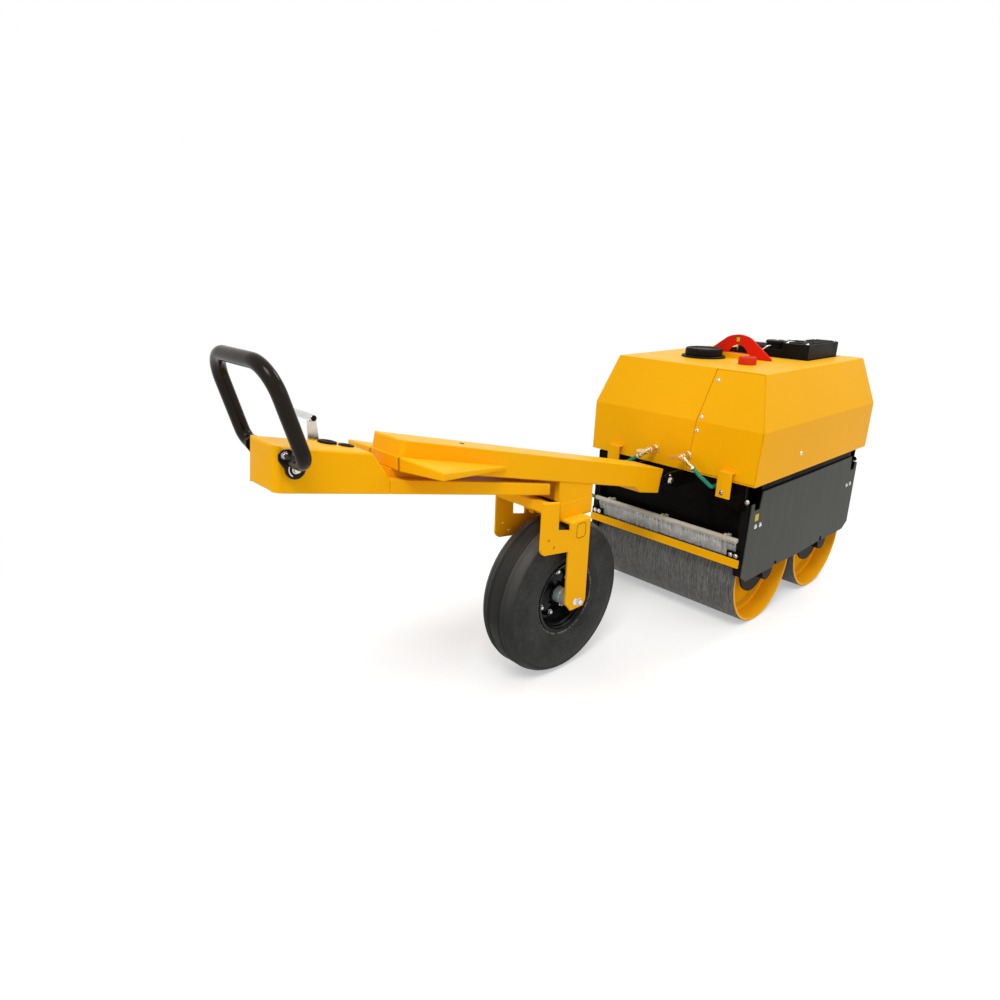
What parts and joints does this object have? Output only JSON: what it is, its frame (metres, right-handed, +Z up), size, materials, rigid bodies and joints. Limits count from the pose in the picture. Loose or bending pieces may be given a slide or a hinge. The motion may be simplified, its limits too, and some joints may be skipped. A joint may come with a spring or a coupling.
{
  "type": "walk-behind double-drum road roller",
  "caption": "Walk-behind double-drum vibratory road roller with a hood over the engine and water tank, a tiller with a bail handle and a tyred support wheel.",
  "frame": {"origin": "middle of the machine's footprint box on the ground", "axes": "+X forward (the tiller and its handle point to -X), +Y to the machine's left, +Z up"},
  "size_m": [2.6292, 0.733, 1.138],
  "materials": {
    "yellow_paint": "gloss warm yellow paint",
    "plate_grey": "satin dark grey paint",
    "frame_black": "satin black paint",
    "red_paint": "gloss red paint",
    "red_plastic": "moulded red",
    "black_plastic": "moulded black",
    "engine_metal": "cast grey",
    "exhaust_steel": "plain steel",
    "brass": "turned brass",
    "pipe_plastic": "beige moulded pipe",
    "green_hose": "green water hose",
    "brush_fibre": "grey bristles",
    "drum_steel": "worn rolling steel",
    "zinc_steel": "zinc plated",
    "handle_black": "gloss black coating",
    "rim_black": "black painted wheel",
    "tyre": "ribbed black rubber"
  },
  "bodies": {
    "chassis": {"side_plates": "plate_grey", "deck_frame": "frame_black", "end_guards": "frame_black", "mount_brackets": "frame_black", "hub_carriers": "plate_grey", "hood": "yellow_paint", "hood_mounts": "black_plastic", "service_cover": "yellow_paint", "filler_neck": "black_plastic", "filler_cap": "black_plastic", "fuel_cap": "red_plastic", "lifting_frame": "red_paint", "lifting_guard": "yellow_paint", "engine_block": "engine_metal", "engine_cowl": "black_plastic", "air_filter": "black_plastic", "muffler": "exhaust_steel", "tank_hangers": "yellow_paint", "water_valves": "brass", "spray_pipes": "pipe_plastic", "hose_left": "green_hose", "hose_right": "green_hose", "brush_strips": "brush_fibre", "scraper_bars": "yellow_paint", "hitch_bracket": "frame_black"},
    "rear_drum": {"rear_drum_shell": "drum_steel", "rear_drum_ends": "yellow_paint"},
    "front_drum": {"front_drum_shell": "drum_steel", "front_drum_ends": "yellow_paint"},
    "tiller": {"upper_beam": "yellow_paint", "lower_beam": "yellow_paint", "tiller_spine": "yellow_paint", "console": "yellow_paint", "wing_plates": "yellow_paint", "hinge_tube": "frame_black", "fork": "yellow_paint", "wheel_axle": "zinc_steel", "console_dials": "black_plastic", "mode_lever": "zinc_steel", "handle_pivots": "zinc_steel"},
    "travel_handle": {"bail_handle": "handle_black"},
    "support_wheel": {"wheel_hub": "zinc_steel", "wheel_rim": "rim_black", "tyre": "tyre"}
  },
  "joints": [
    {"name": "rear_drum_spin", "type": "hinge", "parent": "chassis", "child": "rear_drum", "pos_m": [0.5736, 0, 0.218], "axis": [0, 1, 0], "continuous": true},
    {"name": "front_drum_spin", "type": "hinge", "parent": "chassis", "child": "front_drum", "pos_m": [1.0636, 0, 0.218], "axis": [0, 1, 0], "continuous": true},
    {"name": "tiller_hinge", "type": "hinge", "parent": "chassis", "child": "tiller", "pos_m": [0.2186, 0, 0.588], "axis": [0, 1, 0], "range_deg": [0, 50]},
    {"name": "handle_tilt", "type": "hinge", "parent": "tiller", "child": "travel_handle", "pos_m": [-1.2264, 0, 0.887], "axis": [0, 1, 0], "range_deg": [-12, 12]},
    {"name": "support_wheel_spin", "type": "hinge", "parent": "tiller", "child": "support_wheel", "pos_m": [-0.2864, 0, 0.27], "axis": [0, 1, 0], "continuous": true}
  ]
}
